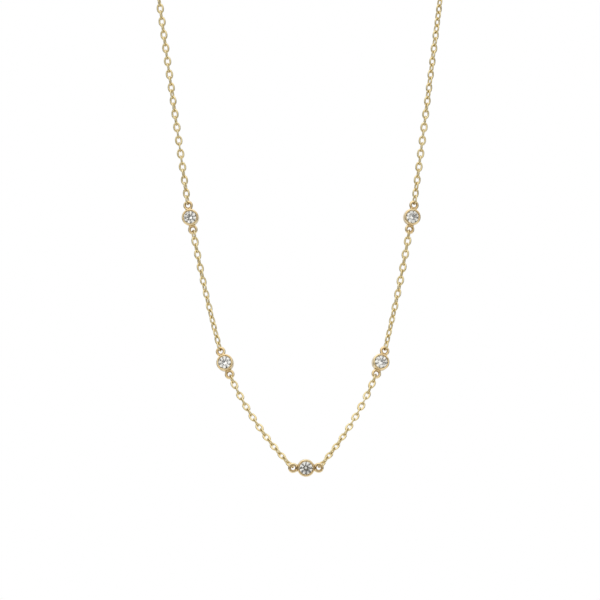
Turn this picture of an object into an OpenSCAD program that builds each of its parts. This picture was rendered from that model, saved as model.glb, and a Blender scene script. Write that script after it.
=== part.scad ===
// Station necklace: a fine cable chain with five round crystals in bezel settings, closed at the nape.
// Millimetres. X runs to the viewer's right, Y runs from the breast back to the nape, and Z is up.
// The origin is the middle of the clasp, where the necklace sits on the nape.

/* [Length] */
// Whole length along the loop, through settings and clasp
necklace_len = 450; // [440:1:470]
// Chain from the centre setting to a lower setting, eye to eye
front_len = 32.6; // [30:0.1:34]
// Chain from a lower setting to an upper setting, eye to eye
mid_len = 33.75; // [30:0.05:36]

/* [Chain] */
// Width over a link
chain_w = 2; // [1.5:0.1:2.3]
// Gap between the end of a chain and the eye that it hangs in
chain_gap = 0.15; // [0.1:0.01:0.3]

/* [Setting] */
// Outside width of the bezel cup
cup_w = 4.45; // [4.35:0.05:4.8]
// Front to back height of the bezel cup
cup_h = 2.25; // [2.15:0.05:2.6]
// Width of the round window in the back of the cup
window_w = 2; // [1.4:0.1:2.2]
// Wire of the eyes
eye_wire = 0.75; // [0.5:0.05:0.85]
// Width of the hole in an eye
eye_hole = 1.1; // [0.95:0.05:1.4]

/* [Crystal] */
// Width of the crystal over its girdle
stone_w = 3.5; // [3.3:0.05:3.6]
// Width of the flat table, as a share of the crystal's width
table_share = 0.56; // [0.5:0.01:0.62]
// Slope of the crown
crown_slope = 34; // [30:0.5:36]
// Slope of the pavilion
pavilion_slope = 40.5; // [38:0.5:42]

/* [Clasp] */
// Outside width of the clasp's ring
clasp_w = 5.8; // [5.6:0.1:6.4]
// Wire of the clasp's ring
clasp_wire = 1.2; // [1:0.1:1.6]

/* [Hidden] */
SIDES = ["left", "right"];

$fn = 64;
GOLD = [0.88, 0.74, 0.47];
PALE_GOLD = [0.9, 0.82, 0.55];
CRYSTAL = [0.93, 0.94, 0.92, 0.8];
FRONT = [0, -1, 0];
INWARD = [-1, 0, 0];

// An eye is a ring of wire, soldered a little way into the cup or the clasp
solder_bite = 0.225;
eye_w = eye_hole + 2 * eye_wire;
eye_reach = (cup_w + eye_w) / 2 - solder_bite;
clasp_reach = (clasp_w + eye_w) / 2 - solder_bite;

// The right half of the loop, from the centre setting up, as legs. Each leg turns evenly from one pair of
// angles to the next. Tilt is the slope away from upright seen from the front, and lean is the slope
// away from upright seen from the side, as the breast and then the neck carry the chain back.
LEN = 0;
TILT_FROM = 1;
TILT_TO = 2;
LEAN_FROM = 3;
LEAN_TO = 4;
//                length         tilt from, to   lean from, to
front_leg =      [front_len,     45.2, 23.7,     36, 20];
lower_set_leg =  [2 * eye_reach, 21.4, 21.4,     14, 14];
mid_leg =        [mid_len,       15.2, 10.1,     13, 8];
upper_set_leg =  [2 * eye_reach, 11, 11,         6, 6];
collar_leg =     [58,            8.1, 7.6,       6, 4];
neck_leg =       [1,             7.6, 0,         4, 60];

// How far each pair of settings has turned to face outwards on the curve of the breast
lower_roll = 4;
upper_roll = 7;

function mix(a, b, t) = a + (b - a) * t;
function unit(v) = v / norm(v);
function aim(tilt, lean) = [sin(tilt) * cos(lean), sin(lean), cos(tilt) * cos(lean)];
function leg_aim(leg, t) = aim(mix(leg[TILT_FROM], leg[TILT_TO], t), mix(leg[LEAN_FROM], leg[LEAN_TO], t));
// Where a share t of a leg leads, from its start: the mean of its directions, times the length walked
STEPS = 24;
function leg_way(leg, t) =
    let (aims = [for (i = [1:STEPS]) leg_aim(leg, t * (i - 0.5) / STEPS)])
    leg[LEN] * t / STEPS * ([for (i = [1:STEPS]) 1] * aims);

front_start = [eye_reach, 0, 0];
lower_start = front_start + leg_way(front_leg, 1);
mid_start = lower_start + leg_way(lower_set_leg, 1);
upper_start = mid_start + leg_way(mid_leg, 1);
collar_start = upper_start + leg_way(upper_set_leg, 1);
neck_start = collar_start + leg_way(collar_leg, 1);

// Behind the neck the chain is a quarter circle to the clasp. Its radius is what is left of the half width
// there, and the leg up the side of the neck takes the length that is then left of the half loop.
nape_len = necklace_len / 2 - 3 * eye_reach - front_len - mid_len - 2 * eye_reach - clasp_reach;
quarter = PI / 2;
neck_drift = leg_way(neck_leg, 1)[0];
past_collar = nape_len - collar_leg[LEN];
neck_len = (past_collar - quarter * (neck_start[0] - clasp_reach)) / (1 + quarter * neck_drift);
neck_way = concat([neck_len], [for (i = [TILT_FROM:LEAN_TO]) neck_leg[i]]);
arc_start = neck_start + leg_way(neck_way, 1);
arc_r = arc_start[0] - clasp_reach;
arc_aim = leg_aim(neck_way, 1);
nape = arc_start + arc_r * (arc_aim + INWARD) + clasp_reach * INWARD;

// Place and direction at a length along a plain leg, and along the stretch from an upper setting to the clasp
function leg_at(leg, start, s) = [start + leg_way(leg, s / leg[LEN]), leg_aim(leg, s / leg[LEN])];
function arc_at(turn) = [
    arc_start + arc_r * (sin(turn) * arc_aim + (1 - cos(turn)) * INWARD),
    cos(turn) * arc_aim + sin(turn) * INWARD
];
function nape_at(s) =
    s < collar_leg[LEN] ? leg_at(collar_leg, collar_start, s)
    : s < collar_leg[LEN] + neck_len ? leg_at(neck_way, neck_start, s - collar_leg[LEN])
    : arc_at(90 * (s - collar_leg[LEN] - neck_len) / (arc_r * quarter));

// Chain: a tube of the links' outer width, eight sided, along the given places and directions
TUBE_SIDES = 8;
RING_SPACING = 5.4;
tube_end = eye_w / 2 + chain_gap;

function ring_stops(len) =
    let (rings = ceil((len - 2 * tube_end) / RING_SPACING))
    [for (i = [0:rings]) mix(tube_end, len - tube_end, i / rings)];

module tube(route) {
    rings = len(route);
    points = [
        for (stop = route)
            let (along = stop[1], side = unit(cross(along, FRONT)), face = cross(side, along))
            for (k = [0:TUBE_SIDES - 1])
                let (turn = 360 * k / TUBE_SIDES)
                stop[0] + chain_w / 2 * (cos(turn) * side + sin(turn) * face)
    ];
    function corner(ring, k) = ring * TUBE_SIDES + k % TUBE_SIDES;
    walls = [
        for (ring = [0:rings - 2], k = [0:TUBE_SIDES - 1], half = [0, 1])
            half == 0 ? [corner(ring, k), corner(ring, k + 1), corner(ring + 1, k + 1)]
            : [corner(ring, k), corner(ring + 1, k + 1), corner(ring + 1, k)]
    ];
    first_cap = [for (k = [TUBE_SIDES - 1:-1:0]) corner(0, k)];
    last_cap = [for (k = [0:TUBE_SIDES - 1]) corner(rings - 1, k)];
    color(PALE_GOLD) polyhedron(points, concat(walls, [first_cap, last_cap]), convexity = 6);
}

module chain_front() tube([for (s = ring_stops(front_len)) leg_at(front_leg, front_start, s)]);
module chain_mid() tube([for (s = ring_stops(mid_len)) leg_at(mid_leg, mid_start, s)]);
module chain_nape() tube([for (s = ring_stops(nape_len)) nape_at(s)]);

// Setting: its own Z is the way the crystal faces, its eyes are on its own Y, and they lie in the plane Z = 0
cup_r = cup_w / 2;
cup_back = -1.05;
rim_z = cup_back + cup_h;
edge_round = 0.2;
rim_round = 0.3;
rim_bevel = 0.2;
stone_r = stone_w / 2;
seat_gap = 0.05;
girdle_h = 0.07;
girdle_below_rim = 0.47;
girdle_z = rim_z - girdle_below_rim;
lip_over_stone = 0.1;
lip_r = stone_r - lip_over_stone;

module eye(reach) {
    ring_r = (eye_hole + eye_wire) / 2;
    translate([0, reach, 0]) rotate_extrude() translate([ring_r, 0]) circle(d = eye_wire, $fn = 32);
}

// Half of the cup's section: a wall with a rounded foot and a rim that is rubbed over round, less the pocket.
// The pocket is a window in the back, a seat for the pavilion, a lip that leans over the girdle, and the bevel
// that the rim falls to the lip by.
module cup_section() {
    seat_r = stone_r + seat_gap;
    seat_top = girdle_z + girdle_h + seat_gap;
    window_r = window_w / 2;
    seat_low = girdle_z - seat_gap - (seat_r - window_r) * tan(pavilion_slope);
    lip_low = seat_top + (stone_r - lip_r) * tan(crown_slope);
    past = 1;
    difference() {
        union() {
            translate([0, cup_back + edge_round]) square([cup_r, cup_h - edge_round - rim_round]);
            translate([0, cup_back]) square([cup_r - edge_round, cup_h / 2]);
            translate([cup_r - edge_round, cup_back + edge_round]) circle(r = edge_round, $fn = 32);
            translate([cup_r - rim_round, rim_z - rim_round]) circle(r = rim_round, $fn = 32);
        }
        polygon([
            [0, cup_back - past], [window_r, cup_back - past], [window_r, seat_low],
            [seat_r, girdle_z - seat_gap], [seat_r, seat_top], [lip_r, lip_low], [lip_r + rim_bevel, rim_z],
            [lip_r + rim_bevel, rim_z + past], [0, rim_z + past]
        ]);
    }
}

module setting() {
    color(GOLD) {
        rotate_extrude() cup_section();
        for (side = [-1, 1]) eye(side * eye_reach);
    }
}

// Round brilliant: an eight sided table, a ring of eight corners on the crown, sixteen corners on each edge
// of the girdle, a ring of eight corners on the pavilion, and the point
low_share = 0.24;

module crystal() {
    table_r = stone_r * table_share;
    half_turn = 22.5;
    crown_top = girdle_z + girdle_h;
    crown_r = (table_r * cos(half_turn) + stone_r) / 2;
    crown_z = crown_top + (stone_r - crown_r * cos(half_turn)) * tan(crown_slope);
    table_z = crown_top + (stone_r - table_r) * tan(crown_slope);
    low_r = stone_r * low_share;
    low_z = girdle_z - (stone_r - low_r * cos(half_turn)) * tan(pavilion_slope);
    point_z = girdle_z - stone_r * tan(pavilion_slope);
    function spot(r, turn, z) = [r * cos(turn), r * sin(turn), z];
    points = concat(
        [for (i = [0:7]) spot(table_r, 45 * i, table_z)],
        [for (i = [0:7]) spot(crown_r, 45 * i + half_turn, crown_z)],
        [for (i = [0:15]) spot(stone_r, half_turn * i, crown_top)],
        [for (i = [0:15]) spot(stone_r, half_turn * i, girdle_z)],
        [for (i = [0:7]) spot(low_r, 45 * i + half_turn, low_z)],
        [spot(0, 0, point_z)]
    );
    function table_at(i) = i % 8;
    function crown_at(i) = 8 + (i + 8) % 8;
    function upper_at(i) = 16 + i % 16;
    function lower_at(i) = 32 + i % 16;
    function low_at(i) = 48 + (i + 8) % 8;
    point = 56;
    faces = concat(
        [[for (i = [7:-1:0]) table_at(i)]],
        [for (i = [0:7]) [table_at(i), table_at(i + 1), crown_at(i)]],
        [for (i = [0:7]) [table_at(i), crown_at(i), upper_at(2 * i)]],
        [for (i = [0:7]) [table_at(i), upper_at(2 * i), crown_at(i - 1)]],
        [for (i = [0:7], k = [0, 1]) [crown_at(i), upper_at(2 * i + 1 + k), upper_at(2 * i + k)]],
        [for (i = [0:15]) [upper_at(i), upper_at(i + 1), lower_at(i + 1), lower_at(i)]],
        [for (i = [0:7], k = [0, 1]) [lower_at(2 * i + k), lower_at(2 * i + 1 + k), low_at(i)]],
        [for (i = [0:7]) [lower_at(2 * i), low_at(i), point]],
        [for (i = [0:7]) [lower_at(2 * i), point, low_at(i - 1)]]
    );
    color(CRYSTAL) polyhedron(points, faces, convexity = 2);
}

module clasp() {
    color(GOLD) rotate([90, 0, 0]) {
        rotate_extrude() translate([(clasp_w - clasp_wire) / 2, 0]) circle(d = clasp_wire, $fn = 32);
        rotate(90) for (side = [-1, 1]) eye(side * clasp_reach);
    }
}

// Sets a setting or a crystal in the loop: up along the strand, and turned out to the side
module in_loop(middle, tilt, lean, roll)
    translate(middle) rotate([-lean, tilt, 0]) rotate([90, 0, roll]) children();
module in_leg(leg, start, roll)
    in_loop(start + leg_way(leg, 0.5), leg[TILT_FROM], leg[LEAN_FROM], roll) children();
module lower() in_leg(lower_set_leg, lower_start, lower_roll) children();
module upper() in_leg(upper_set_leg, upper_start, upper_roll) children();
module center() in_loop([0, 0, 0], 90, 0, 0) children();

// Everything above is measured from the centre setting: this moves it to hang from the nape
module hung() translate([0, -nape[1], -nape[2]]) children();
module hung_on(side) hung() mirror([side == "left" ? 1 : 0, 0, 0]) children();

hung() center() setting();  // setting_center
hung() center() crystal();  // crystal_center
clasp();
for (side = SIDES) {
    hung_on(side) lower() setting();
    hung_on(side) upper() setting();
    hung_on(side) lower() crystal();
    hung_on(side) upper() crystal();
    hung_on(side) chain_front();
    hung_on(side) chain_mid();
    hung_on(side) chain_nape();
}
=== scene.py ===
import math

import bmesh
import bpy
from mathutils import Matrix, Vector


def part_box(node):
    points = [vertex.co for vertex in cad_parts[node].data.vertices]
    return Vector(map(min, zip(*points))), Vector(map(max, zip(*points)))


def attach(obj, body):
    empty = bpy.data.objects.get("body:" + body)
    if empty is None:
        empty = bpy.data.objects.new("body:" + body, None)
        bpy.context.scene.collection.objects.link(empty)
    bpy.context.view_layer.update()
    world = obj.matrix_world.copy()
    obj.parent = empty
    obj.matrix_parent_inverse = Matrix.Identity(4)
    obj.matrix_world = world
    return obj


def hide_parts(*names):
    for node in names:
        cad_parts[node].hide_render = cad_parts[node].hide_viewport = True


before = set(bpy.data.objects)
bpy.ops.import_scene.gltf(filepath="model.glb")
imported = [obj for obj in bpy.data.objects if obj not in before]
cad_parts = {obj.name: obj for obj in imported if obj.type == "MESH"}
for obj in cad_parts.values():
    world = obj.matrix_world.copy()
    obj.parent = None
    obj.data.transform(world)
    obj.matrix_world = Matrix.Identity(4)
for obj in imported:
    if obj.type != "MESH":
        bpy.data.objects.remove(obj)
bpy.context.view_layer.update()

# Camera
# It stands in front, a little to the left and at a height between the lower and the upper settings, with a
# long lens. The strands leave the picture at its top edge, and the clasp behind the neck is above it.
STAND_OFF = 0.600
# How wide the picture is in metres, at the centre setting's distance
PICTURE_WIDTH = 0.15392
SENSOR_WIDTH = 36
CAMERA_LEFT = 0.0259
CAMERA_ABOVE = 0.0431
CAMERA_ROLL = math.radians(0.17)
CAMERA_PAN = math.radians(-2.34)

low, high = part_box("setting_center")
center = (low + high) / 2
camera = bpy.data.objects.new("camera", bpy.data.cameras.new("camera"))
camera.data.sensor_width = SENSOR_WIDTH
camera.data.lens = SENSOR_WIDTH * STAND_OFF / PICTURE_WIDTH
camera.location = center + Vector((-CAMERA_LEFT, -STAND_OFF, CAMERA_ABOVE))
camera.rotation_euler = (math.radians(90), CAMERA_ROLL, CAMERA_PAN)
bpy.context.scene.collection.objects.link(camera)
bpy.context.scene.camera = camera

# Cable chain
# Six stretches of oval links, bent from drawn brass wire, soldered shut and plated pale gold. Each link
# stands across its neighbours and hangs in their ends, and the end links hang in the eyes of the settings.
MM = 0.001
LINK_WIDTH = 2.0 * MM
LINK_WIRE = 0.53 * MM
LINK_THICK = 0.42 * MM
EYE_HOLE = 1.1 * MM
# From the middle of a setting, and of the clasp, to the middle of its eye
EYE_REACH = 3.3 * MM
CLASP_REACH = 3.975 * MM
HALF_LOOP = 225 * MM

# The right half of the loop as legs, from the centre setting up. Each leg turns evenly from one pair of
# angles in degrees to the next: tilt is its slope away from upright seen from the front, and lean is that
# seen from the side. The lower and the upper leg are one setting each, from eye to eye. The last leg, up the
# side of the neck, gets its length further on.
FRONT_LEG = {"length": 32.6 * MM, "tilt": (45.2, 23.7), "lean": (36, 20)}
LOWER_LEG = {"length": 6.6 * MM, "tilt": (21.4, 21.4), "lean": (14, 14)}
MID_LEG = {"length": 33.75 * MM, "tilt": (15.2, 10.1), "lean": (13, 8)}
UPPER_LEG = {"length": 6.6 * MM, "tilt": (11, 11), "lean": (6, 6)}
COLLAR_LEG = {"length": 58 * MM, "tilt": (8.1, 7.6), "lean": (6, 4)}
NECK_ANGLES = {"tilt": (7.6, 0), "lean": (4, 60)}
# How many steps a leg is walked in
WALK_STEPS = 24


def leg_aim(leg, t):
    """The direction of a leg at a share t of its length."""
    tilt, lean = (math.radians(start + (stop - start) * t) for start, stop in (leg["tilt"], leg["lean"]))
    return Vector((math.sin(tilt) * math.cos(lean), math.sin(lean), math.cos(tilt) * math.cos(lean)))


def leg_way(leg, t):
    """How far and which way a share t of a leg leads: its mean direction, times the length walked."""
    aims = [leg_aim(leg, t * (i + 0.5) / WALK_STEPS) for i in range(WALK_STEPS)]
    return sum(aims, Vector()) * (leg["length"] * t / WALK_STEPS)


front_start = Vector((EYE_REACH, 0, 0))
lower_start = front_start + leg_way(FRONT_LEG, 1)
mid_start = lower_start + leg_way(LOWER_LEG, 1)
upper_start = mid_start + leg_way(MID_LEG, 1)
collar_start = upper_start + leg_way(UPPER_LEG, 1)
neck_start = collar_start + leg_way(COLLAR_LEG, 1)

# Behind the neck the chain is a quarter circle to the clasp: its radius is the half width that is left there,
# and the leg up the side of the neck has the length that is then left of the half loop. The settings take
# five reaches of an eye out of that: one from the centre setting, and two from each of the others.
INWARD = Vector((-1, 0, 0))
QUARTER_TURN = math.pi / 2
SETTINGS_LENGTH = 5 * EYE_REACH
nape_length = HALF_LOOP - SETTINGS_LENGTH - FRONT_LEG["length"] - MID_LEG["length"] - CLASP_REACH
neck_drift = leg_way({"length": 1, **NECK_ANGLES}, 1).x
neck_length = nape_length - COLLAR_LEG["length"] - QUARTER_TURN * (neck_start.x - CLASP_REACH)
neck_length /= 1 + QUARTER_TURN * neck_drift
neck_leg = {"length": neck_length, **NECK_ANGLES}
arc_start = neck_start + leg_way(neck_leg, 1)
arc_radius = arc_start.x - CLASP_REACH
arc_aim = leg_aim(neck_leg, 1)
nape = arc_start + arc_radius * (arc_aim + INWARD) + CLASP_REACH * INWARD
# The legs start at the centre setting, and this moves them to where the nape is the origin.
hang = Vector((0, -nape.y, -nape.z))

# How many steps there are between the points along each leg, and along the quarter circle
FRONT_STEPS = 40
MID_STEPS = 40
COLLAR_STEPS = 60
NECK_STEPS = 24
ARC_STEPS = 40


def leg_points(leg, start, steps):
    """Points along a leg, from one end to the other."""
    return [start + leg_way(leg, i / steps) for i in range(steps + 1)]


front_points = leg_points(FRONT_LEG, front_start, FRONT_STEPS)
mid_points = leg_points(MID_LEG, mid_start, MID_STEPS)
nape_points = leg_points(COLLAR_LEG, collar_start, COLLAR_STEPS)
nape_points += leg_points(neck_leg, neck_start, NECK_STEPS)[1:]
for i in range(1, ARC_STEPS + 1):
    turn = math.radians(90 * i / ARC_STEPS)
    nape_points.append(arc_start + arc_radius * (math.sin(turn) * arc_aim + (1 - math.cos(turn)) * INWARD))


def add_node(tree, kind, settings=None, links=None):
    """Adds a node, sets its properties, and sets or links its inputs, which are given by name or number."""
    node = tree.nodes.new(kind)
    for name, value in (settings or {}).items():
        setattr(node, name, value)
    for name, value in (links or {}).items():
        if isinstance(value, bpy.types.NodeSocket):
            tree.links.new(value, node.inputs[name])
        else:
            node.inputs[name].default_value = value
    return node


def srgb(code):
    """A colour such as "#E6D3A0" as the linear numbers that a shader takes."""
    shares = [int(code[i:i + 2], 16) / 255 for i in (1, 3, 5)]
    return (*(s / 12.92 if s <= 0.04045 else ((s + 0.055) / 1.055) ** 2.4 for s in shares), 1.0)


# Pale gold plate on drawn wire, tumbled bright: a metal whose own colour tints what it mirrors. Tumbling
# leaves fine dents, so that its glints are soft, and the plate is a little warmer where it is thin. The real
# dents are some hundredths of a millimetre wide, and are drawn coarser so that they show.
WIRE_GOLD = "#E7D8AB"
WIRE_GOLD_WARM = "#DCC68F"
WIRE_PATCH = 1.3 * MM
WIRE_DENT = 0.12 * MM
WIRE_DENT_BUMP = 0.1
WIRE_ROUGHNESS = (0.2, 0.32)
BUMP_DEPTH = 0.01 * MM
# A noise seldom leaves the middle of its range, so what it drives changes between these values of it.
PATCH_SPREAD = (0.35, 0.7)
DENT_SPREAD = (0.3, 0.7)

wire_gold = bpy.data.materials.new("gold_plated_brass_wire")
wire_gold.use_nodes = True
tree = wire_gold.node_tree
tree.nodes.clear()
place = add_node(tree, "ShaderNodeTexCoord").outputs["Object"]
patch = add_node(tree, "ShaderNodeTexNoise", links={"Vector": place, "Scale": 1 / WIRE_PATCH, "Detail": 3.0})
tint = add_node(tree, "ShaderNodeMapRange", links={
    "Value": patch.outputs[0], "From Min": PATCH_SPREAD[0], "From Max": PATCH_SPREAD[1]})
colour = add_node(tree, "ShaderNodeMixRGB", links={
    "Fac": tint.outputs[0], "Color1": srgb(WIRE_GOLD), "Color2": srgb(WIRE_GOLD_WARM)})
dents = add_node(tree, "ShaderNodeTexNoise", links={"Vector": place, "Scale": 1 / WIRE_DENT, "Detail": 2.0})
roughness = add_node(tree, "ShaderNodeMapRange", links={
    "Value": dents.outputs[0], "From Min": DENT_SPREAD[0], "From Max": DENT_SPREAD[1],
    "To Min": WIRE_ROUGHNESS[0], "To Max": WIRE_ROUGHNESS[1]})
bump = add_node(tree, "ShaderNodeBump", links={
    "Height": dents.outputs[0], "Strength": WIRE_DENT_BUMP, "Distance": BUMP_DEPTH})
metal = add_node(tree, "ShaderNodeBsdfPrincipled", links={
    "Base Color": colour.outputs[0], "Metallic": 1.0, "Roughness": roughness.outputs[0],
    "Normal": bump.outputs[0]})
add_node(tree, "ShaderNodeOutputMaterial", links={"Surface": metal.outputs[0]})

# The tree that threads the links on a line, which carries its own roll at each point
chain_tree = bpy.data.node_groups.new("cable_chain", "GeometryNodeTree")
for name, kind in (("Line", "Geometry"), ("Links", "Int"), ("Link Width", "Float"), ("Wire", "Float"),
                   ("Thickness", "Float"), ("First Skew", "Float"), ("Last Skew", "Float"),
                   ("Loose Roll", "Float"), ("Seed", "Int"), ("Metal", "Material")):
    chain_tree.interface.new_socket(name, in_out="INPUT", socket_type="NodeSocket" + kind)
chain_tree.interface.new_socket("Chain", in_out="OUTPUT", socket_type="NodeSocketGeometry")
given = add_node(chain_tree, "NodeGroupInput").outputs
line = add_node(chain_tree, "GeometryNodeMeshToCurve", links={"Mesh": given["Line"]}).outputs[0]

# One link: its wire's middle runs on an oval that is as wide as the link less one wire, and as long as the
# pitch and one wire. The wire is six-sided, for few faces. Its corners stand out by 0.53 of its width and not
# by half of it, so that it looks as thick as a round one.
OVAL_POINTS = 16
WIRE_SIDES = 6
WIRE_CORNER = 0.53
line_length = add_node(chain_tree, "GeometryNodeCurveLength", links={"Curve": line}).outputs[0]
pitch = add_node(chain_tree, "ShaderNodeMath", {"operation": "DIVIDE"}, {
    0: line_length, 1: given["Links"]}).outputs[0]
oval_width = add_node(chain_tree, "ShaderNodeMath", {"operation": "SUBTRACT"}, {
    0: given["Link Width"], 1: given["Wire"]}).outputs[0]
half_width = add_node(chain_tree, "ShaderNodeMath", {"operation": "DIVIDE"}, {
    0: oval_width, 1: 2.0}).outputs[0]
oval_length = add_node(chain_tree, "ShaderNodeMath", {"operation": "ADD"}, {
    0: pitch, 1: given["Wire"]}).outputs[0]
half_length = add_node(chain_tree, "ShaderNodeMath", {"operation": "DIVIDE"}, {
    0: oval_length, 1: 2.0}).outputs[0]
bend = add_node(chain_tree, "GeometryNodeCurvePrimitiveCircle", links={
    "Resolution": OVAL_POINTS, "Radius": 1.0})
oval_size = add_node(chain_tree, "ShaderNodeCombineXYZ", links={"X": half_width, "Y": half_length, "Z": 1.0})
flat_oval = add_node(chain_tree, "GeometryNodeTransform", links={
    "Geometry": bend.outputs["Curve"], "Scale": oval_size.outputs[0]})
oval = add_node(chain_tree, "GeometryNodeTransform", links={
    "Geometry": flat_oval.outputs[0], "Rotation": (QUARTER_TURN, 0, 0)})
section = add_node(chain_tree, "GeometryNodeCurvePrimitiveCircle", links={
    "Resolution": WIRE_SIDES, "Radius": WIRE_CORNER})
section_size = add_node(chain_tree, "ShaderNodeCombineXYZ", links={
    "X": given["Wire"], "Y": given["Thickness"], "Z": 1.0})
flat_section = add_node(chain_tree, "GeometryNodeTransform", links={
    "Geometry": section.outputs["Curve"], "Scale": section_size.outputs[0]})
link = add_node(chain_tree, "GeometryNodeCurveToMesh", links={
    "Curve": oval.outputs[0], "Profile Curve": flat_section.outputs[0]})
smooth_link = add_node(chain_tree, "GeometryNodeSetShadeSmooth", links={"Geometry": link.outputs[0]})

# Where each link is: centred on its share of the line, and upright along it
spots = add_node(chain_tree, "GeometryNodeMeshLine", links={"Count": given["Links"]})
number = add_node(chain_tree, "GeometryNodeInputIndex").outputs[0]
link_middle = add_node(chain_tree, "ShaderNodeMath", {"operation": "ADD"}, {0: number, 1: 0.5}).outputs[0]
share = add_node(chain_tree, "ShaderNodeMath", {"operation": "DIVIDE"}, {
    0: link_middle, 1: given["Links"]}).outputs[0]
line_roll = add_node(chain_tree, "GeometryNodeInputNamedAttribute", {"data_type": "FLOAT"}, {"Name": "roll"})
sample = add_node(chain_tree, "GeometryNodeSampleCurve", {"mode": "FACTOR", "data_type": "FLOAT"}, {
    "Curves": line, "Factor": share, "Value": line_roll.outputs[0]})
spots_set = add_node(chain_tree, "GeometryNodeSetPosition", links={
    "Geometry": spots.outputs[0], "Position": sample.outputs["Position"]})
stand = add_node(chain_tree, "FunctionNodeAxesToRotation", {"primary_axis": "Z", "secondary_axis": "Y"}, {
    "Primary Axis": sample.outputs["Tangent"], "Secondary Axis": (0, -1, 0)})

# How each link is rolled: as the line is there, and a little by chance. Every other one is rolled on by a
# right angle less a skew, because slack neighbours don't hang quite square.
skew = add_node(chain_tree, "ShaderNodeMapRange", links={
    "Value": share, "To Min": given["First Skew"], "To Max": given["Last Skew"]}).outputs[0]
roll_on = add_node(chain_tree, "ShaderNodeMath", {"operation": "SUBTRACT"}, {
    0: QUARTER_TURN, 1: skew}).outputs[0]
odd = add_node(chain_tree, "ShaderNodeMath", {"operation": "MODULO"}, {0: number, 1: 2.0}).outputs[0]
every_other = add_node(chain_tree, "ShaderNodeMath", {"operation": "SUBTRACT"}, {0: 1.0, 1: odd}).outputs[0]
across = add_node(chain_tree, "ShaderNodeMath", {"operation": "MULTIPLY"}, {
    0: every_other, 1: roll_on}).outputs[0]
seeded = add_node(chain_tree, "ShaderNodeMath", {"operation": "ADD"}, {
    0: number, 1: given["Seed"]}).outputs[0]
chance = add_node(chain_tree, "ShaderNodeTexWhiteNoise", {"noise_dimensions": "1D"}, {"W": seeded})
either_way = add_node(chain_tree, "ShaderNodeMath", {"operation": "SUBTRACT"}, {
    0: chance.outputs["Value"], 1: 0.5}).outputs[0]
loose = add_node(chain_tree, "ShaderNodeMath", {"operation": "MULTIPLY"}, {
    0: either_way, 1: given["Loose Roll"]}).outputs[0]
set_roll = add_node(chain_tree, "ShaderNodeMath", {"operation": "ADD"}, {
    0: across, 1: sample.outputs["Value"]}).outputs[0]
roll = add_node(chain_tree, "ShaderNodeMath", {"operation": "ADD"}, {0: set_roll, 1: loose}).outputs[0]
about = add_node(chain_tree, "FunctionNodeAxisAngleToRotation", links={"Axis": (0, 0, 1), "Angle": roll})
rolled = add_node(chain_tree, "FunctionNodeRotateRotation", {"rotation_space": "LOCAL"}, {
    0: stand.outputs[0], 1: about.outputs[0]})

threaded = add_node(chain_tree, "GeometryNodeInstanceOnPoints", links={
    "Points": spots_set.outputs[0], "Instance": smooth_link.outputs[0], "Rotation": rolled.outputs[0]})
solid = add_node(chain_tree, "GeometryNodeRealizeInstances", links={"Geometry": threaded.outputs[0]})
plated = add_node(chain_tree, "GeometryNodeSetMaterial", links={
    "Geometry": solid.outputs[0], "Material": given["Metal"]})
add_node(chain_tree, "NodeGroupOutput", links={"Chain": plated.outputs[0]})

# From the middle of an eye's hole to its edge, where the end link hangs and the line of links starts
EYE_LEAD = EYE_HOLE / 2
# Chance rolls each link by up to half of this either way, in degrees.
LOOSE_ROLL = 6


def thread_links(name, points, links, rolls, skews, seed):
    """One stretch of chain on a line through the points, as a plain mesh."""
    spots = [Vector(p) for p in points]
    spots[0] += (spots[1] - spots[0]).normalized() * EYE_LEAD
    spots[-1] += (spots[-2] - spots[-1]).normalized() * EYE_LEAD
    line_mesh = bpy.data.meshes.new(name + "_line")
    line_mesh.from_pydata(spots, [(i, i + 1) for i in range(len(spots) - 1)], [])
    roll_there = line_mesh.attributes.new("roll", "FLOAT", "POINT")
    for i in range(len(spots)):
        step, part = divmod(i / (len(spots) - 1) * (len(rolls) - 1), 1)
        here, following = rolls[int(step)], rolls[min(int(step) + 1, len(rolls) - 1)]
        roll_there.data[i].value = math.radians(here + (following - here) * part)
    carrier = bpy.data.objects.new(name + "_line", line_mesh)
    bpy.context.scene.collection.objects.link(carrier)
    modifier = carrier.modifiers.new("links", "NODES")
    modifier.node_group = chain_tree
    values = {"Links": links, "Link Width": LINK_WIDTH, "Wire": LINK_WIRE, "Thickness": LINK_THICK,
              "First Skew": math.radians(skews[0]), "Last Skew": math.radians(skews[1]),
              "Loose Roll": math.radians(LOOSE_ROLL), "Seed": seed, "Metal": wire_gold}
    for item in chain_tree.interface.items_tree:
        if item.item_type == "SOCKET" and item.in_out == "INPUT" and item.name in values:
            modifier[item.identifier] = values[item.name]
    finished = carrier.evaluated_get(bpy.context.evaluated_depsgraph_get())
    mesh = bpy.data.meshes.new_from_object(finished)
    mesh.name = name
    bpy.data.objects.remove(carrier)
    piece = bpy.data.objects.new(name, mesh)
    bpy.context.scene.collection.objects.link(piece)
    return piece


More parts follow.
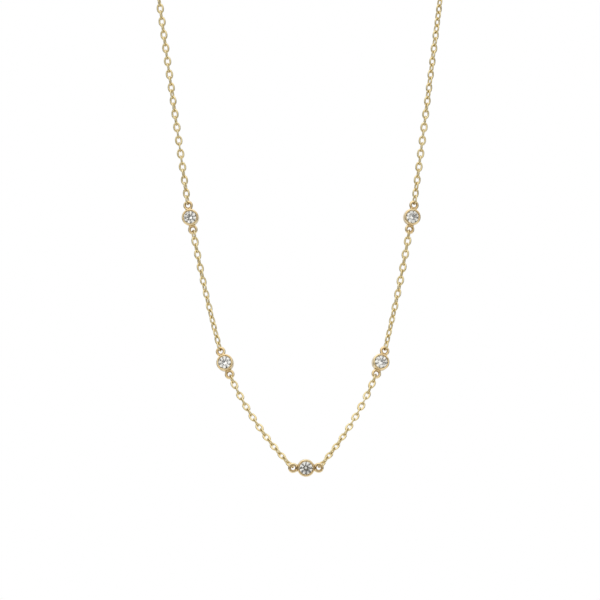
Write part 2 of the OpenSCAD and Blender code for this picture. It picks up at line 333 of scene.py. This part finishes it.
# Run, side, points, links, seed, skews and rolls. Skews and rolls are in degrees. The rolls are how far the
# chain has rolled about its own line, at even steps from its lower end to its upper end: with an even number
# of links between two eyes it has to roll on by a right angle on the way.
STRETCHES = (
    ("front", "left", front_points, 18, 3, (16, 10), (46, 63, 68, 75, 73, 79, 78, 79, 81, 78, 66)),
    ("front", "right", front_points, 18, 41, (24, 16), (54, 65, 66, 68, 70, 80, 84, 87, 80, 74, 68)),
    ("mid", "left", mid_points, 18, 5, (20, -6), (45, 48, 50, 57, 65, 62, 68, 70, 69, 70, 56)),
    ("mid", "right", mid_points, 18, 67, (20, -14), (44, 50, 56, 54, 63, 62, 72, 71, 70, 71, 68)),
    ("nape", "left", nape_points, 76, 8, (0, 0), (
        25, 22, 9, 0, 0, 14, 26, 5, 8, 16, 12, 14, 20, 12, 8, 14, 26, 20, 12, 20, 36, 56, 74, 82, 80)),
    ("nape", "right", nape_points, 76, 92, (0, 0), (
        26, 22, 6, 5, 0, 10, 24, 29, 23, 20, 42, 38, 14, 22, 12, 8, 16, 24, 16, 14, 30, 50, 70, 82, 80)),
)
for run, side, points, links, seed, skews, rolls in STRETCHES:
    mirror = -1 if side == "left" else 1
    placed = [Vector((mirror * p.x, p.y, p.z)) + hang for p in points]
    mirrored_rolls = [mirror * r for r in rolls]
    mirrored_skews = [mirror * s for s in skews]
    piece = thread_links("links_" + run + "_" + side, placed, links, mirrored_rolls, mirrored_skews, seed)
    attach(piece, "root")
    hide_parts("chain_" + run + "_" + side)

# Bezel settings
# Five cups turned from brass, each with a rim rubbed over its crystal and a wire eye soldered on at each
# side, then polished and plated. The solder runs into the corners between eye and cup.
CUP_RADIUS = 2.225 * MM
EYE_WIRE = 0.75 * MM
# Sides of a wire's section and steps in a full turn: enough that smooth shading hides them
EYE_SIDES = 14
EYE_TURNS = 40
CUP_TURNS = 72


def arc(middle, radius, start, stop, steps):
    """Points of a section on an arc, angles in degrees."""
    turns = [math.radians(start + (stop - start) * i / steps) for i in range(steps + 1)]
    return [(middle[0] + radius * math.cos(a), middle[1] + radius * math.sin(a)) for a in turns]


def wire_section(middle, radius, sides):
    """The round section of a wire."""
    return arc(middle, radius, 0, 360 - 360 / sides, sides - 1)


# The cup's section in millimetres, as radius and height over the eyes' plane: down the window in its back,
# out over the back, up the wall, over the rim, down the bevel, back under the lip and down the seat.
WINDOW = [(1.0, height) for height in (-0.05, -0.35, -0.7, -0.97)]
WINDOW_EDGE = arc((1.08, -0.97), 0.08, 180, 270, 3)
BACK = [(1.4, -1.05), (1.7, -1.05)]
BACK_EDGE = arc((2.025, -0.85), 0.2, -90, 0, 5)
WALL = [(2.225, height) for height in (-0.6, -0.4, -0.2, 0, 0.2, 0.4, 0.6, 0.8)]
RIM = arc((1.925, 0.9), 0.3, 0, 86, 8) + arc((1.915, 1.08), 0.12, 92, 150, 4)
BEVEL = [(1.75, 1.06), (1.69, 0.98), (1.65, 0.925)]
LIP = [(1.66, 0.905), (1.72, 0.87), (1.79, 0.83), (1.80, 0.78)]
SEAT = [(1.80, 0.69), (1.6, 0.51), (1.4, 0.34), (1.2, 0.17), (1.02, 0.015)]
CUP_OUTLINE = WINDOW + WINDOW_EDGE + BACK + BACK_EDGE + WALL + RIM + BEVEL + LIP + SEAT
CUP_SECTION = [(radius * MM, height * MM) for radius, height in CUP_OUTLINE]


def turned(section, turns, middle=(0, 0, 0)):
    """A closed section turned about the axis Z through middle, as vertices and faces."""
    count = len(section)
    verts = []
    faces = []
    for i in range(turns):
        c, s = math.cos(2 * math.pi * i / turns), math.sin(2 * math.pi * i / turns)
        verts += [Vector((r * c, r * s, z)) + Vector(middle) for r, z in section]
        here, following = i * count, (i + 1) % turns * count
        for k in range(count):
            after = (k + 1) % count
            faces.append((here + k, here + after, following + after, following + k))
    return verts, faces


def mesh_piece(name, verts, faces):
    """A smooth mesh with its faces turned outwards, as an object in the scene."""
    mesh = bpy.data.meshes.new(name)
    mesh.from_pydata(verts, [], faces)
    form = bmesh.new()
    form.from_mesh(mesh)
    bmesh.ops.recalc_face_normals(form, faces=form.faces)
    form.to_mesh(mesh)
    form.free()
    mesh.shade_smooth()
    piece = bpy.data.objects.new(name, mesh)
    bpy.context.scene.collection.objects.link(piece)
    return piece


def eye_piece(place):
    """A wire eye in the plane Z = 0."""
    section = wire_section(((EYE_HOLE + EYE_WIRE) / 2, 0), EYE_WIRE / 2, EYE_SIDES)
    return mesh_piece("eye", *turned(section, EYE_TURNS, place))


def to_eye(p, reach):
    """Distance from the wire of the eye on the nearer side."""
    across = math.hypot(p.x, abs(p.y) - reach) - (EYE_HOLE + EYE_WIRE) / 2
    return math.hypot(across, p.z) - EYE_WIRE / 2


def to_wall(p):
    """Distance from the cup's outer wall."""
    return math.hypot(p.x, p.y) - CUP_RADIUS


# How far from a seam there is solder, and how high it stands in the corner
SOLDER = 0.65 * MM
SOLDER_HEIGHT = SOLDER / 4


def fill_corner(piece, distance):
    """Swells a piece where it comes near another one, as solder fills the corner between them."""
    normals = [n.vector.copy() for n in piece.data.vertex_normals]
    for v, normal in zip(piece.data.vertices, normals):
        near = max(0, 1 - abs(distance(v.co)) / SOLDER)
        v.co += normal * (SOLDER_HEIGHT * near * near)


def join_solid(piece, others):
    """Joins the others to a piece as one solid."""
    for other in others:
        union = piece.modifiers.new("join", "BOOLEAN")
        union.operation = "UNION"
        union.solver = "EXACT"
        union.object = other
    finished = piece.evaluated_get(bpy.context.evaluated_depsgraph_get())
    mesh = bpy.data.meshes.new_from_object(finished)
    for other in others:
        bpy.data.objects.remove(other)
    piece.modifiers.clear()
    piece.data = mesh
    mesh.shade_smooth()


# How far from the seam the solder is smoothed, how many times, and how near two points are the same one
MELT_REACH = SOLDER / 3
MELT_PASSES = 8
SAME_POINT = 0.003 * MM


def melt_seam(piece, reach, body):
    """Smooths the line where the eyes meet the body, as the solder flows over it."""
    form = bmesh.new()
    form.from_mesh(piece.data)
    bmesh.ops.remove_doubles(form, verts=form.verts, dist=SAME_POINT)
    seam = [v for v in form.verts if max(abs(to_eye(v.co, reach)), abs(body(v.co))) < MELT_REACH]
    for _ in range(MELT_PASSES):
        bmesh.ops.smooth_vert(form, verts=seam, factor=0.5, use_axis_x=True, use_axis_y=True, use_axis_z=True)
    form.to_mesh(piece.data)
    form.free()


# How far out from its hole an eye counts as recessed, and how much a corner does, with 1 at the hole's edge
EYE_RECESS = 0.6 * EYE_WIRE
CORNER_RECESS = 0.4


def mark_recess(piece, reach, body):
    """Gives each point its recess, for painted shade and a duller polish: in the eyes and at the seams."""
    marks = piece.data.attributes.new("recess", "FLOAT", "POINT")
    for v, mark in zip(piece.data.vertices, marks.data):
        from_hole = math.hypot(v.co.x, abs(v.co.y) - reach) - EYE_HOLE / 2
        in_eye = max(0, 1 - from_hole / EYE_RECESS) if to_eye(v.co, reach) < EYE_WIRE / 2 else 0
        at_joint = max(0, 1 - max(abs(to_eye(v.co, reach)), abs(body(v.co))) / SOLDER)
        mark.value = min(1, max(in_eye, CORNER_RECESS * at_joint))


def solder_eyes(piece, reach, body):
    """Solders an eye to each side of a piece. The function body gives a point's distance from the piece."""
    fill_corner(piece, lambda p: to_eye(p, reach))
    eyes = [eye_piece((0, side * reach, 0)) for side in (-1, 1)]
    for eye in eyes:
        fill_corner(eye, body)
    join_solid(piece, eyes)
    melt_seam(piece, reach, body)
    mark_recess(piece, reach, body)


# The same gold plate, polished on a wheel: a brighter mirror than the chain, with a faint haze from its fine
# scratches. The wheel doesn't reach into the eyes and the corners by the solder, so there the plate is
# duller, and painted shade darkens its colour towards a deep gold, as far as each point's recess says.
# Real scratches are a few thousandths of a millimetre wide, and are drawn coarser so that they show.
CUP_GOLD = "#EAD6AA"
CUP_GOLD_WARM = "#DEC290"
CUP_GOLD_PAINTED_SHADE = "#9E7628"
CUP_PATCH = 2.0 * MM
CUP_SCRATCH = 0.07 * MM
CUP_SCRATCH_BUMP = 0.04
CUP_ROUGHNESS = (0.1, 0.16)
RECESS_ROUGHNESS = 0.2

cup_gold = bpy.data.materials.new("polished_gold_plate")
cup_gold.use_nodes = True
tree = cup_gold.node_tree
tree.nodes.clear()
place = add_node(tree, "ShaderNodeTexCoord").outputs["Object"]
patch = add_node(tree, "ShaderNodeTexNoise", links={"Vector": place, "Scale": 1 / CUP_PATCH, "Detail": 3.0})
tint = add_node(tree, "ShaderNodeMapRange", links={
    "Value": patch.outputs[0], "From Min": PATCH_SPREAD[0], "From Max": PATCH_SPREAD[1]})
bright = add_node(tree, "ShaderNodeMixRGB", links={
    "Fac": tint.outputs[0], "Color1": srgb(CUP_GOLD), "Color2": srgb(CUP_GOLD_WARM)})
recess = add_node(tree, "ShaderNodeAttribute", {"attribute_name": "recess"}).outputs["Fac"]
# Painted shade: the colour darkens towards a deep gold in the eyes and the corners by the solder.
colour = add_node(tree, "ShaderNodeMixRGB", links={
    "Fac": recess, "Color1": bright.outputs[0], "Color2": srgb(CUP_GOLD_PAINTED_SHADE)})
scratches = add_node(tree, "ShaderNodeTexNoise", links={
    "Vector": place, "Scale": 1 / CUP_SCRATCH, "Detail": 2.0})
polish = add_node(tree, "ShaderNodeMapRange", links={
    "Value": scratches.outputs[0], "From Min": DENT_SPREAD[0], "From Max": DENT_SPREAD[1],
    "To Min": CUP_ROUGHNESS[0], "To Max": CUP_ROUGHNESS[1]})
roughness = add_node(tree, "ShaderNodeMath", {"operation": "MULTIPLY_ADD"}, {
    0: recess, 1: RECESS_ROUGHNESS, 2: polish.outputs[0]})
bump = add_node(tree, "ShaderNodeBump", links={
    "Height": scratches.outputs[0], "Strength": CUP_SCRATCH_BUMP, "Distance": BUMP_DEPTH})
metal = add_node(tree, "ShaderNodeBsdfPrincipled", links={
    "Base Color": colour.outputs[0], "Metallic": 1.0, "Roughness": roughness.outputs[0],
    "Normal": bump.outputs[0]})
add_node(tree, "ShaderNodeOutputMaterial", links={"Surface": metal.outputs[0]})


def set_in_loop(middle, tilt, lean, roll):
    """Where a setting hangs: its eyes up along the strand, its crystal to the front and turned out."""
    strand = Matrix.Rotation(math.radians(tilt), 4, "Y") @ Matrix.Rotation(-math.radians(lean), 4, "X")
    facing = Matrix.Rotation(math.radians(roll), 4, "Z") @ Matrix.Rotation(math.radians(90), 4, "X")
    return Matrix.Translation(middle + hang) @ strand @ facing


# Row, start, leg, and how far its two settings are turned outwards, in degrees
ROWS = (
    ("lower", lower_start, LOWER_LEG, 4),
    ("upper", upper_start, UPPER_LEG, 7),
)
STATIONS = [("center", set_in_loop(Vector(), tilt=90, lean=0, roll=0))]
for side, mirror in (("left", -1), ("right", 1)):
    for row, start, leg, outwards in ROWS:
        middle = start + leg_way(leg, 0.5)
        spot = Vector((mirror * middle.x, middle.y, middle.z))
        place = set_in_loop(spot, mirror * leg["tilt"][0], leg["lean"][0], mirror * outwards)
        STATIONS.append((row + "_" + side, place))

cup = mesh_piece("cup", *turned(CUP_SECTION, CUP_TURNS))
solder_eyes(cup, EYE_REACH, to_wall)
for station, place in STATIONS:
    mesh = cup.data.copy()
    mesh.transform(place)
    mesh.materials.clear()
    mesh.materials.append(cup_gold)
    piece = bpy.data.objects.new("bezel_" + station, mesh)
    bpy.context.scene.collection.objects.link(piece)
    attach(piece, "root")
    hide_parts("setting_" + station)
bpy.data.objects.remove(cup)

# Crystals
# Five round brilliants, cut from clear zirconia and polished, each held on its seat by its cup's rim. They
# are the CAD's own faceted solids, so only their material is made here.

# Zirconia is clear with a trace of warmth, and bends light far more than glass, so that dark arrowheads stand
# between its bright facets. Its real polish marks are too fine to see, and are drawn coarser so that they
# blur a glint a little.
ZIRCONIA = "#FCFBF5"
ZIRCONIA_INDEX = 2.16
POLISH_MARK = 0.3 * MM
POLISH_ROUGHNESS = 0.01

zirconia = bpy.data.materials.new("cut_clear_zirconia")
zirconia.use_nodes = True
tree = zirconia.node_tree
tree.nodes.clear()
place = add_node(tree, "ShaderNodeTexCoord").outputs["Object"]
marks = add_node(tree, "ShaderNodeTexNoise", links={"Vector": place, "Scale": 1 / POLISH_MARK, "Detail": 2.0})
blur = add_node(tree, "ShaderNodeMapRange", links={
    "Value": marks.outputs[0], "To Min": 0.0, "To Max": POLISH_ROUGHNESS})
stone = add_node(tree, "ShaderNodeBsdfPrincipled", links={
    "Base Color": srgb(ZIRCONIA), "Roughness": blur.outputs[0], "IOR": ZIRCONIA_INDEX,
    "Transmission Weight": 1.0})
add_node(tree, "ShaderNodeOutputMaterial", links={"Surface": stone.outputs[0]})
for station, place in STATIONS:
    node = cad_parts["crystal_" + station]
    node.data.materials.clear()
    node.data.materials.append(zirconia)

# Clasp
# A plain ring of gold plated brass wire at the nape, bent round and soldered shut. Like a setting it has an
# eye soldered on at each side, in which the last link of each strand hangs.
CLASP_RING = 2.3 * MM
CLASP_WIRE = 1.2 * MM
CLASP_SIDES = 20
CLASP_TURNS = 64


def to_ring(p):
    """Distance from the clasp's ring."""
    return math.hypot(math.hypot(p.x, p.y) - CLASP_RING, p.z) - CLASP_WIRE / 2


ring_section = wire_section((CLASP_RING, 0), CLASP_WIRE / 2, CLASP_SIDES)
clasp = mesh_piece("clasp_ring", *turned(ring_section, CLASP_TURNS))
solder_eyes(clasp, CLASP_REACH, to_ring)
clasp.data.transform(set_in_loop(-hang, tilt=90, lean=0, roll=0))
clasp.data.materials.clear()
clasp.data.materials.append(cup_gold)
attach(clasp, "root")
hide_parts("clasp")

# Studio
# A plain floor of matte white paper well below, soft light from all round, and a softbox above and at each
# side, all turned to the centre setting.
FLOOR = -0.34
FLOOR_REACH = 0.55
PAPER = "#F4F4F2"
PAPER_ROUGHNESS = 0.9

floor_mesh = bpy.data.meshes.new("floor")
corners = [(FLOOR_REACH * x, FLOOR_REACH * y, FLOOR) for x, y in ((-1, -1), (1, -1), (1, 1), (-1, 1))]
floor_mesh.from_pydata(corners, [], [(0, 1, 2, 3)])
floor = bpy.data.objects.new("floor", floor_mesh)
bpy.context.scene.collection.objects.link(floor)
paper = bpy.data.materials.new("matte_paper")
paper.use_nodes = True
paper_inputs = paper.node_tree.nodes["Principled BSDF"].inputs
paper_inputs["Base Color"].default_value = srgb(PAPER)
paper_inputs["Roughness"].default_value = PAPER_ROUGHNESS
floor_mesh.materials.append(paper)

# The light from all round is weaker towards the floor and the sides, and there is none from the front, where
# the lens is. The camera itself sees plain white.
world = bpy.data.worlds.new("studio")
world.use_nodes = True
tree = world.node_tree
tree.nodes.clear()
way = add_node(tree, "ShaderNodeTexCoord").outputs["Generated"]
split = add_node(tree, "ShaderNodeSeparateXYZ", links={0: way}).outputs
aside = add_node(tree, "ShaderNodeMath", {"operation": "ABSOLUTE"}, {0: split["X"]}).outputs[0]
# Zone, place along its axis, from and to there, and the light at both ends
ZONES = (
    ("overhead", split["Z"], -0.9, 0.5, 0.33, 1.1),
    ("behind", split["Y"], 0.0, 0.8, 1.0, 0.95),
    ("sides", aside, 0.7, 0.92, 1.0, 0.12),
    ("lens", split["Y"], -1.0, -0.9, 0.0, 1.0),
)
light = 1.0
for name, axis, start, stop, at_start, at_stop in ZONES:
    zone = add_node(tree, "ShaderNodeMapRange", {"name": name, "interpolation_type": "SMOOTHSTEP"}, {
        "Value": axis, "From Min": start, "From Max": stop, "To Min": at_start, "To Max": at_stop})
    light = add_node(tree, "ShaderNodeMath", {"operation": "MULTIPLY"}, {
        0: light, 1: zone.outputs[0]}).outputs[0]
seen = add_node(tree, "ShaderNodeLightPath").outputs["Is Camera Ray"]
shade = add_node(tree, "ShaderNodeMath", {"operation": "MAXIMUM"}, {0: light, 1: seen})
sky = add_node(tree, "ShaderNodeBackground", links={"Color": (1, 1, 1, 1), "Strength": shade.outputs[0]})
add_node(tree, "ShaderNodeOutputWorld", links={"Surface": sky.outputs[0]})
bpy.context.scene.world = world
bpy.context.scene.view_settings.view_transform = "Standard"

# Softbox, place and width in metres, and watts
SOFTBOXES = (
    ("top_box", (-0.1, -0.3, 0.45), 0.45, 0.4),
    ("left_box", (-0.5, -0.45, 0.05), 0.4, 0.25),
    ("right_box", (0.5, -0.4, -0.05), 0.35, 0.15),
)
for name, place, width, watts in SOFTBOXES:
    lamp = bpy.data.lights.new(name, "AREA")
    lamp.size = width
    lamp.energy = watts
    box = bpy.data.objects.new(name, lamp)
    box.location = place
    box.rotation_euler = (Vector(place) - center).to_track_quat("Z", "Y").to_euler()
    bpy.context.scene.collection.objects.link(box)
